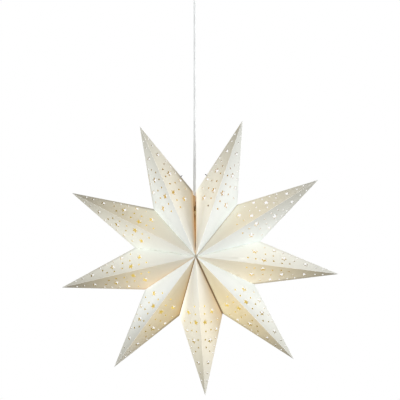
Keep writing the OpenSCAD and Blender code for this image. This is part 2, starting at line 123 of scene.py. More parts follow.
class Shader:
    """A material under construction: one node tree and one Principled shader."""

    def __init__(self, name: str) -> None:
        """Starts an empty material.

        Args:
            name: The material's name.
        """
        self.material = bpy.data.materials.new(name)
        self.material.use_nodes = True
        self.tree = self.material.node_tree
        self.tree.nodes.clear()
        self.output = self.tree.nodes.new("ShaderNodeOutputMaterial")

    def node(self, kind: str, settings: dict[str, Any], inputs: Union[Sequence[Any], dict[str, Any]],
             output: Union[int, str] = 0) -> Wire:
        """Adds a node.

        Args:
            kind: The node's type.
            settings: Properties of the node, set first.
            inputs: Values or wires for the sockets, in order or by name.
            output: The output socket that is returned.

        Returns:
            The wire from that output.
        """
        made = self.tree.nodes.new(kind)
        for key, value in settings.items():
            setattr(made, key, value)
        pairs = inputs.items() if isinstance(inputs, dict) else enumerate(inputs)
        for key, value in pairs:
            self.plug(made.inputs[key], value)
        return Wire(self, made.outputs[output])

    def plug(self, socket: bpy.types.NodeSocket, value: Any) -> None:
        """Links a wire to a socket, or sets the socket's own value.

        Args:
            socket: The input socket.
            value: A wire, a number, a vector or a colour.
        """
        if isinstance(value, Wire):
            self.tree.links.new(value.socket, socket)
        elif value is not None:
            socket.default_value = (*value, 1.0) if socket.type == "RGBA" and len(value) == 3 else value

    def place(self) -> Wire:
        """The point's place on the object, in metres."""
        return self.node("ShaderNodeTexCoord", {}, [], "Object")

    def facing(self) -> Wire:
        """The surface's direction."""
        return self.node("ShaderNodeNewGeometry", {}, [], "Normal")

    def mark(self, name: str) -> Wire:
        """A number that the mesh carries at each point."""
        return self.node("ShaderNodeAttribute", {"attribute_name": name}, [], "Fac")

    def tint(self, name: str) -> Wire:
        """A colour that the mesh carries at each point."""
        return self.node("ShaderNodeAttribute", {"attribute_name": name}, [], "Color")

    def vector(self, operation: str, *values: Any, output: Union[int, str] = 0, **named: Any) -> Wire:
        """Adds a Vector Math node.

        Args:
            operation: The node's operation.
            values: The node's vectors, in order.
            output: The output socket that is returned.
            named: Further sockets by name.

        Returns:
            The wire from that output.
        """
        return self.node("ShaderNodeVectorMath", {"operation": operation},
                         {**dict(enumerate(values)), **named}, output)

    def grain(self, scale: float, detail: float = 2.0, stretch: Place = (1.0, 1.0, 1.0)) -> Wire:
        """Noise on the object's own coordinates.

        Args:
            scale: The noise's scale, in cells per metre.
            detail: The number of octaves.
            stretch: Factors on the three coordinates.

        Returns:
            The noise, about 0.5 on average.
        """
        where = self.vector("MULTIPLY", self.place(), stretch)
        return self.node("ShaderNodeTexNoise", {}, {"Vector": where, "Scale": scale, "Detail": detail})

    def blend(self, factor: Number, first: Any, second: Any, mode: str = "MIX") -> Wire:
        """Mixes two colours.

        Args:
            factor: The part of the second colour.
            first: A colour or a wire.
            second: A colour or a wire.
            mode: The Mix node's blend type.

        Returns:
            The mixed colour.
        """
        return self.node("ShaderNodeMix", {"data_type": "RGBA", "blend_type": mode},
                         {0: factor, 6: first, 7: second}, 2)

    def bump(self, height: Wire, strength: float, distance: float) -> Wire:
        """Turns a height into a surface direction."""
        return self.node("ShaderNodeBump", {},
                         {"Strength": strength, "Distance": distance, "Height": height})

    def finish(self, **sockets: Any) -> bpy.types.Material:
        """Adds the Principled shader and closes the material.

        Args:
            sockets: The shader's sockets by name, with underscores for spaces.

        Returns:
            The material.
        """
        named = {key.replace("_", " "): value for key, value in sockets.items()}
        shader = self.node("ShaderNodeBsdfPrincipled", {}, named)
        self.tree.links.new(shader.socket, self.output.inputs["Surface"])
        return self.material


@dataclass(frozen=True)
class StarShape:
    """The star's driving sizes, in metres and degrees, as in the part's source."""

    tip_r: float = 0.300
    notch_r: float = 0.1355
    half_depth: float = 0.075
    seam_gap: float = 3.2
    hang_lean: float = 3.0
    hang_drop: float = 0.490
    paper_t: float = 0.0004
    points: int = 9

    @property
    def sector(self) -> float:
        """Angle from one ridge to the next."""
        return (360 - self.seam_gap) / self.points

    @property
    def frame(self) -> Matrix:
        """The star's own frame: its centre, with z up through the seam."""
        return (Matrix.Translation((0, 0, -self.hang_drop))
                @ Matrix.Rotation(math.radians(-self.hang_lean), 4, "Y")
                @ Matrix.Translation((0, 0, -self.notch_r)))

    def bag_frame(self, number: int) -> Matrix:
        """The frame of one bag, its tip along z and its front along -y.

        Args:
            number: The bag's number, clockwise from the seam.

        Returns:
            The frame's matrix.
        """
        turn = self.seam_gap / 2 + self.sector * (number - 0.5)
        return self.frame @ Matrix.Rotation(math.radians(turn), 4, "Y")

    @property
    def panel(self) -> tuple[Vector, Vector, Vector]:
        """Corners of the front right panel: centre, tip and notch."""
        half = math.radians(self.sector / 2)
        return (Vector((0, -self.half_depth, 0)), Vector((0, 0, self.tip_r)),
                Vector((self.notch_r * math.sin(half), 0, self.notch_r * math.cos(half))))

    @property
    def panel_normal(self) -> Vector:
        """Outward direction of the front right panel."""
        centre, tip, notch = self.panel
        return (notch - centre).cross(tip - centre).normalized()

    @property
    def panel_heights(self) -> tuple[float, float, float]:
        """The panel's heights over its outline fold, its valley and its ridge."""
        centre, tip, notch = self.panel
        double_area = (notch - centre).cross(tip - centre).length
        return (double_area / (tip - notch).length, double_area / (notch - centre).length,
                double_area / (tip - centre).length)


@dataclass(frozen=True)
class PaperFinish:
    """White star paper, lit from inside by a warm bulb, whose light on the paper is painted glow, with painted
    shade.
    """

    white: Colour = (0.865, 0.885, 0.855)
    dusty: Colour = (0.82, 0.835, 0.80)
    # Painted shade along the outline folds, at the hub and down the seam, where shade falls
    painted_fold_shade: Colour = (0.24, 0.2, 0.14)
    # Painted shade along the valleys
    painted_valley_shade: Colour = (0.24, 0.12, 0.045)
    # The open seam's painted light and shade: the flaps' front rims painted as lit orange, deeper in painted
    # dark brown shade, with painted glow
    painted_seam_rim_light: Colour = (0.62, 0.40, 0.20)
    painted_seam_shade: Colour = (0.2, 0.08, 0.022)
    # Painted warm light and shade beside the open seam
    painted_seam_spill: Colour = (0.76, 0.53, 0.34)
    rim_glow: Colour = (0.16, 0.08, 0.03)
    deep_glow: Colour = (0.30, 0.15, 0.045)
    lit_inside: Colour = (1.1, 0.95, 0.26)
    dim_inside: Colour = (0.62, 0.40, 0.12)
    # Painted shade: the paper's inner side, darker and warmer, as shade inside the star
    inside: Colour = (0.50, 0.40, 0.22)
    # Painted highlight along the ridges, where the folds catch the light
    crest: Colour = (0.93, 0.93, 0.91)
    inner_reach: float = 0.145
    # Where the inner painted glow fades at the hub, and where a painted dark dot of shade sits at the hub
    hub_reach: Reach = (0.012, 0.002)
    painted_hub_shade: Reach = (0.0055, 0.0012)
    edge_reach: Reach = (0.0075, 0.0015)
    crease_reach: Reach = (0.0034, 0.0008)
    crest_reach: Reach = (0.0014, 0.0003)
    spill_reach: Reach = (0.0085, 0.0)
    # Reaches of the seam's painted light, painted glow and painted shade, by depth and by distance from the
    # hub
    seam_depth: Reach = (0.05, 0.8)
    slit_lit: Reach = (0.095, 0.06)
    slit_dark: Reach = (0.018, 0.045)
    seam_shade_reach: Reach = (0.045, 0.02)
    side_switch: Reach = (-0.002, 0.002)
    pulp_scale: float = 900.0
    cloud_scale: float = 16.0
    strand_scale: float = 420.0
    strand_stretch: Place = (1.0, 1.0, 0.16)

    def make(self, bulb: Vector, centre: Vector) -> bpy.types.Material:
        """Builds the material.

        Args:
            bulb: The middle of the bulb.
            centre: The star's centre.

        Returns:
            The paper's material.
        """
        shader = Shader("star_paper")
        away = shader.vector("SUBTRACT", shader.place(), tuple(bulb))
        distance = shader.vector("LENGTH", away, output="Value")
        outside = shader.vector("DOT_PRODUCT", shader.facing(), away, output="Value")
        outside = outside.ramp(*self.side_switch)
        flat = shader.vector("MULTIPLY", shader.vector("SUBTRACT", shader.place(), tuple(centre)), (1, 0, 1))
        radius = shader.vector("LENGTH", flat, output="Value")
        hub = radius.ramp(*self.hub_reach)
        # Where the panel gets painted shade along its outline fold
        edge = shader.mark("outline").ramp(*self.edge_reach) * shader.mark("edge")
        # Where the panel gets painted shade along its valley, weighted per panel
        crease_shade = shader.mark("valley").ramp(*self.crease_reach) * shader.mark("crease_shade")
        # The seam's flaps and closing tab, which get the seam's painted light and shade instead of the paper's
        # own look
        warm = shader.mark("warm")
        deep = shader.mark("deep").ramp(*self.seam_depth)
        # Where the panel gets painted warm light and shade beside the open seam
        spill = shader.mark("valley").ramp(*self.spill_reach) * shader.mark("spill")
        pulp = shader.grain(self.pulp_scale, 4.0)
        cloud = shader.grain(self.cloud_scale, 2.0)

        # The paper's emission is painted glow, standing for the bulb's light through the paper; the glow
        # attribute carries each panel's painted glow
        outer = shader.vector("SCALE", shader.tint("glow"), output="Vector", Scale=0.92 + 0.16 * cloud)
        dim = ((distance / self.inner_reach) ** 2.0 * -1.0).math("EXPONENT")
        # Painted glow inside each bag, dimmer in the upper bags next to the holder
        lit = shader.blend(shader.mark("lamp"), self.dim_inside, self.lit_inside)
        # The inner painted glow fades with distance from the bulb and near the hub
        inner = shader.blend(dim * (1.0 - 0.8 * hub), BLACK, lit)
        # No painted glow under the painted fold and valley shade
        outer = shader.blend(edge.math("MAXIMUM", crease_shade), outer, BLACK)
        glow = shader.blend(outside, inner, outer)
        # Painted glow on the seam's flaps, fading to none towards the hub
        slit = shader.blend(radius.ramp(*self.slit_lit), BLACK, self.deep_glow)
        slit = shader.blend(radius.ramp(*self.slit_dark), BLACK, shader.blend(deep, self.rim_glow, slit))
        glow = shader.blend(warm, glow, slit)

        base = shader.blend((cloud * 0.5 + pulp * 0.3).ramp(0.25, 0.6), self.dusty, self.white)
        # Painted shade on the panels, olive and tan, weighted per panel
        base = shader.blend(1.0, base, shader.tint("painted_shade"), "MULTIPLY")
        # Painted highlight along the ridges
        base = shader.blend(shader.mark("ridge").ramp(*self.crest_reach) * 0.4, base, self.crest)
        # Painted shade along the outline folds
        base = shader.blend(edge, base, self.painted_fold_shade)
        # Painted shade in the valleys
        base = shader.blend(crease_shade, base, self.painted_valley_shade)
        # Painted warm light and shade beside the open seam
        base = shader.blend(spill, base, self.painted_seam_spill)
        # Painted shade: a dark dot where the tips meet at the hub
        base = shader.blend(radius.ramp(*self.painted_hub_shade) * 0.8, base, self.painted_fold_shade)
        # The inner side gets the painted shade colour
        base = shader.blend(outside, self.inside, base)
        # Painted light at the seam's front rim, painted shade deeper in and near the hub
        seam = shader.blend(deep, self.painted_seam_rim_light, self.painted_seam_shade)
        seam = shader.blend(radius.ramp(*self.seam_shade_reach) * 0.8, seam, self.painted_fold_shade)
        base = shader.blend(warm, base, seam)
        strands = shader.grain(self.strand_scale, 3.0, self.strand_stretch)
        return shader.finish(
            Base_Color=base, Roughness=0.78 + 0.14 * pulp, Specular_IOR_Level=0.3,
            Normal=shader.bump(pulp * 0.6 + strands * 0.4, 0.25, 0.0002),
            Emission_Color=glow, Emission_Strength=1.0)


@dataclass(frozen=True)
class PlasticFinish:
    """Moulded plastic with a fine, slightly uneven surface."""

    name: str
    colour: Colour
    roughness: float = 0.4
    grain_scale: float = 1400.0
    bump: float = 0.08

    def make(self) -> bpy.types.Material:
        """Builds the material."""
        shader = Shader(self.name)
        fine = shader.grain(self.grain_scale, 3.0)
        cloud = shader.grain(38.0, 2.0)
        dark = tuple(c * 0.93 for c in self.colour)
        base = shader.blend(cloud.ramp(0.3, 0.7), dark, self.colour)
        return shader.finish(
            Base_Color=base, Roughness=self.roughness + 0.12 * fine,
            Normal=shader.bump(fine, self.bump, 0.0001))


@dataclass(frozen=True)
class MetalFinish:
    """Drawn, plated or pressed metal with fine lines along one axis."""

    name: str
    colour: Colour
    roughness: float = 0.3
    stretch: Place = (1.0, 1.0, 0.05)

    def make(self) -> bpy.types.Material:
        """Builds the material."""
        shader = Shader(self.name)
        lines = shader.grain(1600.0, 3.0, self.stretch)
        stain = shader.grain(60.0, 2.0)
        dull = tuple(c * 0.8 for c in self.colour)
        base = shader.blend(stain.ramp(0.35, 0.75), dull, self.colour)
        return shader.finish(
            Base_Color=base, Metallic=1.0, Roughness=self.roughness + 0.2 * lines,
            Normal=shader.bump(lines, 0.06, 0.00005))


@dataclass(frozen=True)
class BulbFinish:
    """Opal glass, glowing warm, over a bare metal cap."""

    glass: Colour = (0.95, 0.9, 0.8)
    light: Colour = (1.0, 0.72, 0.4)
    metal: Colour = (0.72, 0.7, 0.66)
    cap_blend: float = 0.0003
    strength: float = 0.5

    def make(self, axis_point: Vector, cap_from: float) -> bpy.types.Material:
        """Builds the material.

        Args:
            axis_point: The middle of the bulb's ball.
            cap_from: Distance from there to the metal cap.

        Returns:
            The bulb's material.
        """
        shader = Shader("bulb_opal_glass")
        away = shader.vector("SUBTRACT", shader.place(), tuple(axis_point))
        height = shader.node("ShaderNodeSeparateXYZ", {}, [away], "Z")
        metal = height.ramp(cap_from - self.cap_blend, cap_from + self.cap_blend)
        base = shader.blend(metal, self.glass, self.metal)
        glow = shader.blend(metal, self.light, BLACK)
        return shader.finish(
            Base_Color=base, Metallic=metal, Roughness=0.25 + 0.1 * shader.grain(300.0),
            Emission_Color=glow, Emission_Strength=self.strength)


def along(profile: Sequence[Reach], place: float) -> float:
    """Reads a profile of straight runs.

    Args:
        profile: Places and values, in order.
        place: The place, which is 0 or more.

    Returns:
        The value there, and 0 beyond the profile's end.
    """
    for (low, first), (high, second) in zip(profile, profile[1:]):
        if low <= place <= high:
            return first + (second - first) * (place - low) / (high - low)
    return 0.0


def only(*pieces: bpy.types.Object) -> None:
    """Selects these objects alone, the first one active.

    Args:
        pieces: The objects.
    """
    bpy.ops.object.select_all(action="DESELECT")
    for piece in pieces:
        piece.select_set(True)
    bpy.context.view_layer.objects.active = pieces[0]


def copied(node: str, name: str) -> bpy.types.Object:
    """Copies a CAD node's mesh to a new piece that stands for it, with its loose triangles merged.

    Args:
        node: The node's name.
        name: The new piece's name.

    Returns:
        The new piece.
    """
    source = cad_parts[node]
    piece = bpy.data.objects.new(name, source.data.copy())
    piece.data.materials.clear()
    bpy.context.scene.collection.objects.link(piece)
    only(piece)
    bpy.ops.object.mode_set(mode="EDIT")
    bpy.ops.mesh.select_all(action="SELECT")
    bpy.ops.mesh.remove_doubles(threshold=MERGE_WITHIN)
    bpy.ops.object.mode_set(mode="OBJECT")
    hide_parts(node)
    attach(piece, "root")
    return piece


def dressed(piece: bpy.types.Object, material: bpy.types.Material) -> bpy.types.Object:
    """Gives a piece one material.

    Args:
        piece: The object.
        material: Its material.

    Returns:
        The object.
    """
    piece.data.materials.clear()
    piece.data.materials.append(material)
    return piece


def softened(node: str, width: float, angle: float = 35.0) -> bpy.types.Object:
    """Copies a rigid CAD node and rounds its edges, as a mould or a tumbled part has them.

    Args:
        node: The node's name.
        width: The rounding's width.
        angle: Edges sharper than this angle are rounded.

    Returns:
        The new piece.
    """
    piece = copied(node, node + "_piece")
    bpy.ops.object.mode_set(mode="EDIT")
    bpy.ops.mesh.select_all(action="SELECT")
    bpy.ops.mesh.dissolve_limited(angle_limit=math.radians(FLAT_WITHIN_DEGREES))
    bpy.ops.object.mode_set(mode="OBJECT")
    bevel = piece.modifiers.new("edges", "BEVEL")
    bevel.width = width
    bevel.segments = 2
    bevel.limit_method = "ANGLE"
    bevel.angle_limit = math.radians(angle)
    bevel.use_clamp_overlap = True
    bpy.ops.object.modifier_apply(modifier=bevel.name)
    bpy.ops.object.shade_smooth_by_angle(angle=math.radians(angle))
    return piece


def smooth(node: str, angle: float = 40.0) -> bpy.types.Object:
    """Copies a CAD node, merged and smoothly shaded, with its edges as they are.

    Args:
        node: The node's name.
        angle: Edges sharper than this angle stay sharp.

    Returns:
        The new piece.
    """
    piece = copied(node, node + "_piece")
    bpy.ops.object.shade_smooth_by_angle(angle=math.radians(angle))
    return piece


def all_dressed(finishes: Sequence[tuple[str, float, bpy.types.Material, str]]) -> list[bpy.types.Object]:
    """Copies CAD nodes, rounds the edges of those with a rounding, and dresses them.

    Args:
        finishes: Each node's name, rounding, material and slot; the slot is not used.

    Returns:
        The pieces.
    """
    made = []
    for node, rounding, material, slot in finishes:
        piece = softened(node, rounding) if rounding else smooth(node)
        dressed(piece, material)
        LOG.info("%s: %d faces", piece.name, len(piece.data.polygons))
        made.append(piece)
    return made


@dataclass(frozen=True)
class PanelLook:
    """How one panel mixes painted light and shade: warm glow near the bulb and further out, light thrown back
    at its valley, shade, painted shade along its folds and the light that spills from the open seam."""

    # Each panel's weights for painted light and shade: glow, thrown-back light, ember and far glow are painted
    # glow; the shade weights, the outline fold weights and the valley weight paint shade; spill paints warm
    # light and shade beside the seam
    glow: float = 0.3
    bounce: float = 0.0
    ember: float = 0.0
    shade: float = 0.0
    shade_tip: float = 0.0
    far: float = 0.0
    edge: float = 0.15
    edge_notch: float = 0.2
    crease_shade: float = 0.0
    spill: float = 0.0
    tints: tuple[Colour, Colour, Colour] = ((1.0, 0.69, 0.16), (1.0, 0.95, 0.86), (1.0, 0.45, 0.1))
    far_tint: Colour = (1.0, 0.83, 0.38)
    shaded_from: float = 0.28
    shaded_over: float = 0.56
    edge_middle: float = 0.5
    edge_gone: float = 0.85
    edge_notch_over: float = 0.3
    valley_least: float = 0.003
    valley_spread: float = 0.14
    shadows: tuple[Colour, Colour] = ((0.578, 0.554, 0.503), (0.70, 0.42, 0.27))
    profile: tuple[Reach, ...] = (
        (0.0, 0.5), (0.067, 0.75), (0.122, 1.0), (0.160, 0.92), (0.208, 0.65), (0.270, 0.25), (0.3, 0.1))
    far_profile: tuple[Reach, ...] = (
        (0.0, 0.0), (0.08, 0.0), (0.160, 0.6), (0.208, 1.0), (0.270, 0.7), (0.3, 0.4))

    def glow_at(self, radius: float, valley: float) -> Vector:
        """The panel's glow.

        Args:
            radius: Distance from the star's axis.
            valley: Distance from the valley.

        Returns:
            The colour of the glow there.
        """
        level, far = along(self.profile, radius), along(self.far_profile, radius)
        near = self.near_valley(valley, radius)
        parts = (level * self.glow, level * near * max(0.0, self.bounce), level * near * self.ember)
        colour = sum((Vector(tint) * part for tint, part in zip(self.tints, parts)),
                     Vector(self.far_tint) * far * self.far)
        return Vector(max(0.0, c) for c in colour)

    def painted_shade_at(self, radius: float, toward_tip: float, valley: float) -> Vector:
        """The panel's painted shade: olive all over and at the tip, tan in a valley where no light is thrown
        back.

        Args:
            radius: Distance from the star's axis.
            toward_tip: 0 at the valley and 1 at the tip.
            valley: Distance from the valley.

        Returns:
            The factor on the paper's colour there.
        """
        tip = self.shade_tip * max(0.0, toward_tip - self.shaded_from) / self.shaded_over
        shade = min(1.0, self.shade + tip)
        deep = min(1.0, max(0.0, -self.bounce) * self.near_valley(valley, radius))
        olive, tan = self.shadows
        return Vector((1 + (a - 1) * shade) * (1 + (b - 1) * deep) for a, b in zip(olive, tan))

    def edge_at(self, toward_tip: float) -> float:
        """How much painted shade the panel has along its outline fold: none at the tip, most at the notch.

        Args:
            toward_tip: 0 at the notch and 1 at the tip.

        Returns:
            The painted shade there.
        """
        if toward_tip > self.edge_middle:
            return self.edge * max(0.0, (self.edge_gone - toward_tip) / (self.edge_gone - self.edge_middle))
        nearness = min(1.0, (self.edge_middle - toward_tip) / self.edge_notch_over)
        return self.edge + (self.edge_notch - self.edge) * nearness

    def near_valley(self, valley: float, radius: float) -> float:
        """Falls from 1 in the valley to 0 away from it, over a width that grows from the hub.

        Args:
            valley: Distance from the valley.
            radius: Distance from the star's axis.

        Returns:
            The nearness.
        """
        return math.exp(-max(0.0, valley) / max(self.valley_least, self.valley_spread * radius))


@dataclass
class FoldedBag:
    """One bag of the star: thin punched paper, a little bowed between its folds."""

    shape: StarShape
    number: int
    left: PanelLook
    right: PanelLook
    lamp: float
    back: PanelLook = PanelLook()
    bow: float = 0.0008
    bow_range: Reach = (0.3, 1.6)
    skin: float = 2.2
    ridge_drop: float = 0.0004
    ripple: float = 0.00025
    ripple_scale: float = 22.0
    crest_width: float = 0.006
    first_seed: int = 40
    curl: float = 0.9
    curl_width: float = 0.011
    open_from: float = 0.016
    closed_over: float = 0.006
    side_band: Reach = (-0.6 * MM, 0.2 * MM)
    tab_from: float = 0.3 * MM
    tab_seam_shading: float = 0.85
    flap_facing: float = 0.93
    flap_width: float = 0.010
    # How deep in the seam's painted shade the closing tab lies, more at its lower end
    tab_depth: float = 0.3
    tab_shade_from: float = 0.105
    tab_shade: float = 0.6
    hub_hole: float = 0.0016
    hub_reach: float = 0.005
    hub_front: float = 0.8
    hub_least: float = 0.12
    cuts_along: tuple[float, ...] = tuple(0.012 * k for k in range(1, 25))
    cuts_across: tuple[float, ...] = (0.0015, 0.004, 0.008, 0.013, 0.019, 0.026, 0.033, 0.04)

    def build(self) -> bpy.types.Object:
        """Makes the bag's mesh from the CAD node.

        Returns:
            The piece.
        """
        piece = copied(f"point_{self.number}", f"paper_point_{self.number}")
        self.slice_panels(piece)
        self.mark_panels(piece)
        self.shape_panels(piece)
        self.curl_flaps(piece)
        self.draw_hub(piece)
        only(piece)
        bpy.ops.object.shade_smooth_by_angle(angle=math.radians(24))
        return piece

    def slice_panels(self, piece: bpy.types.Object) -> None:
        """Cuts the flat panels into strips, so that they can bow.

        Args:
            piece: The bag.
        """
        where = self.shape.bag_frame(self.number)
        turned = where.to_3x3()
        planes = [(Vector((0, 0, z)), Vector((0, 0, 1))) for z in self.cuts_along]
        planes += [(Vector((side * x, 0, 0)), Vector((1, 0, 0))) for x in self.cuts_across for side in (-1, 1)]
        only(piece)
        bpy.ops.object.mode_set(mode="EDIT")
        for point, normal in planes:
            bpy.ops.mesh.select_all(action="SELECT")
            bpy.ops.mesh.bisect(plane_co=where @ point, plane_no=turned @ normal)
        bpy.ops.object.mode_set(mode="OBJECT")

    def on_panel(self, local: Vector) -> tuple[float, tuple[float, float, float]]:
        """Finds where a point lies against the panel of its quarter.

        Args:
            local: The point in the bag's frame.

        Returns:
            Its height over the panel, and its weights for the centre, the tip and the notch.
        """
        centre, tip, notch = self.shape.panel
        folded = Vector((abs(local.x), -abs(local.y), local.z))
        depth = (folded - centre).dot(self.shape.panel_normal)
        flat = folded - self.shape.panel_normal * depth
        return depth, barycentric(flat, centre, tip, notch)

    def mark_panels(self, piece: bpy.types.Object) -> None:
        """Marks each point's distance from the folds, and each corner's painted glow and painted shade.

        Args:
            piece: The bag.
        """
        back = self.shape.bag_frame(self.number).inverted()
        heights = self.shape.panel_heights
        mesh = piece.data
        marks = {name: [0.0] * len(mesh.vertices) for name in ("outline", "valley", "ridge")}
        weights = []
        for vertex in mesh.vertices:
            _, parts = self.on_panel(back @ vertex.co)
            weights.append(parts)
            for name, part, height in zip(marks, parts, heights):
                marks[name][vertex.index] = part * height
        for name, values in marks.items():
            mesh.attributes.new(name, "FLOAT", "POINT").data.foreach_set("value", values)
        glow, painted_shade = [0.0] * (4 * len(mesh.loops)), [0.0] * (4 * len(mesh.loops))
        names = ("edge", "crease_shade", "warm", "spill", "deep", "lamp")
        levels = {name: [0.0] * len(mesh.loops) for name in names}
        for face in mesh.polygons:
            centre = back @ face.center
            look = self.back if centre.y > 0 else self.right if centre.x > 0 else self.left
            warm = self.seam_shading_at(centre, back.to_3x3() @ face.normal)
            for index in face.loop_indices:
                vertex = mesh.loops[index].vertex_index
                local = back @ mesh.vertices[vertex].co
                valley, toward_tip = marks["valley"][vertex], weights[vertex][1]
                radius = math.hypot(local.x, local.z)
                glow[4 * index:4 * index + 4] = (*look.glow_at(radius, valley), 1.0)
                painted_shade[4 * index:4 * index + 4] = (*look.painted_shade_at(radius, toward_tip, valley), 1.0)
                levels["edge"][index] = look.edge_at(toward_tip)
                levels["crease_shade"][index] = look.crease_shade
                levels["warm"][index] = warm
                levels["spill"][index] = look.spill
                levels["deep"][index] = self.depth_at(local, warm < 1.0)
                levels["lamp"][index] = self.lamp
        for name, values in (("glow", glow), ("painted_shade", painted_shade)):
            mesh.attributes.new(name, "FLOAT_COLOR", "CORNER").data.foreach_set("color", values)
        for name, values in levels.items():
            mesh.attributes.new(name, "FLOAT", "CORNER").data.foreach_set("value", values)

    def beyond_side(self, local: Vector) -> float:
        """How far a point lies outside the nearer open side of the bag.

        Args:
            local: The point in the bag's frame.

        Returns:
            The distance, negative inside the bag.
        """
        half = math.radians(self.shape.sector / 2)
        return abs(local.x) * math.cos(half) - local.z * math.sin(half)

    def seam_shading_at(self, centre: Vector, normal: Vector) -> float:
        """How much of the seam's painted light and shade a face has: all on the flaps, most on the closing
        tab.

        Args:
            centre: The face's middle in the bag's frame.
            normal: The face's direction there.

        Returns:
            The part of the seam's painted light and shade.
        """
        half = math.radians(self.shape.sector / 2)
        if self.beyond_side(centre) > self.tab_from:
            return self.tab_seam_shading
        facing = abs(normal.x) * math.cos(half) + abs(normal.z) * math.sin(half)
        return 1.0 if facing > self.flap_facing else 0.0

    def depth_at(self, local: Vector, on_tab: bool) -> float:
        """How deep a point lies in the seam, from 0 at the front edge to 1 at the flap's inner edge.

        Args:
            local: The point in the bag's frame.
            on_tab: Whether it is on the closing tab, which gets the seam's painted shade most at its lower
                end.

        Returns:
            The depth.
        """
        radius = math.hypot(local.x, local.z)
        if on_tab:
            return self.tab_shade if radius < self.tab_shade_from else self.tab_depth
        rim = self.shape.half_depth * (1 - radius / self.shape.notch_r)
        return min(1.0, max(0.0, (rim - abs(local.y)) / self.flap_width))

    def draw_hub(self, piece: bpy.types.Object) -> None:
        """Draws the bag's two ends together at the hub, as the folded tips meet there.

        Args:
            piece: The bag.
        """
        where = self.shape.bag_frame(self.number)
        back = where.inverted()
        for vertex in piece.data.vertices:
            local = back @ vertex.co
            radius = math.hypot(local.x, local.z)
            if 0.0 < radius < self.hub_reach and abs(local.y) > self.hub_front * self.shape.half_depth:
                drawn = (radius - self.hub_hole) / (self.hub_reach - self.hub_hole) * self.hub_reach
                kept = max(self.hub_least, drawn / radius)
                vertex.co = where @ Vector((local.x * kept, local.y, local.z * kept))

    def curl_flaps(self, piece: bpy.types.Object) -> None:
        """Curls the two flaps at the open seam, whose inner edges lean together, and closes it at the hub.

        Args:
            piece: The bag.
        """
        side = {1: -1, self.shape.points: 1}.get(self.number, 0)
        if not side:
            return
        half = math.radians(self.shape.sector / 2)
        outward = Vector((side * math.cos(half), 0, -math.sin(half)))
        where = self.shape.bag_frame(self.number)
        back = where.inverted()
        for vertex in piece.data.vertices:
            local = back @ vertex.co
            if local.x * side < 0 or not self.side_band[0] < self.beyond_side(local) < self.side_band[1]:
                continue
            radius = math.hypot(local.x, local.z)
            rim = self.shape.half_depth * (1 - radius / self.shape.notch_r)
            inward = min(1.0, max(0.0, (rim - abs(local.y)) / self.curl_width))
            closed = min(1.0, max(0.0, (self.open_from - radius) / self.closed_over))
            gap = radius * math.sin(math.radians(self.shape.seam_gap / 2))
            vertex.co += where.to_3x3() @ (outward * (self.curl * gap * max(inward * inward, closed)))

    def shape_panels(self, piece: bpy.types.Object) -> None:
        """Bows the panels a little and softens the ridges.

        Args:
            piece: The bag.
        """
        dice = random.Random(self.first_seed + self.number)
        where = self.shape.bag_frame(self.number)
        back = where.inverted()
        turned = where.to_3x3()
        normal = self.shape.panel_normal
        bows = {(sx, sy): self.bow * dice.uniform(*self.bow_range) for sx in (-1, 1) for sy in (-1, 1)}
        for vertex in piece.data.vertices:
            local = back @ vertex.co
            depth, parts = self.on_panel(local)
            if depth < -self.skin * self.shape.paper_t:
                continue
            sx = 1 if local.x >= 0 else -1
            sy = 1 if local.y >= 0 else -1
            inside = [min(1.0, max(0.0, p)) for p in parts]
            crown = (27 * inside[0] * inside[1] * inside[2]) ** 0.8
            crest = math.exp(-(parts[2] * self.shape.panel_heights[2] / self.crest_width) ** 2)
            crest *= min(1.0, 4 * inside[0] * inside[1])
            wave = noise.noise(vertex.co * self.ripple_scale + Vector((self.number, 0, 0))) * self.ripple
            push = bows[(sx, sy)] * crown + wave * min(1.0, crown * 3)
            move = Vector((normal.x * sx, -normal.y * sy, normal.z)) * push
            move.y -= sy * self.ridge_drop * crest
            vertex.co += turned @ move


def barycentric(point: Vector, a: Vector, b: Vector, c: Vector) -> tuple[float, float, float]:
    """Weights of a triangle's corners at a point in its plane.

    Args:
        point: The point.
        a: First corner.
        b: Second corner.
        c: Third corner.

    Returns:
        The three weights, which add up to 1.
    """
    ab, ac, ap = b - a, c - a, point - a
    d00, d01, d11 = ab.dot(ab), ab.dot(ac), ac.dot(ac)
    d20, d21 = ap.dot(ab), ap.dot(ac)
    scale = d00 * d11 - d01 * d01
    second = (d11 * d20 - d01 * d21) / scale
    third = (d00 * d21 - d01 * d20) / scale
    return 1 - second - third, second, third


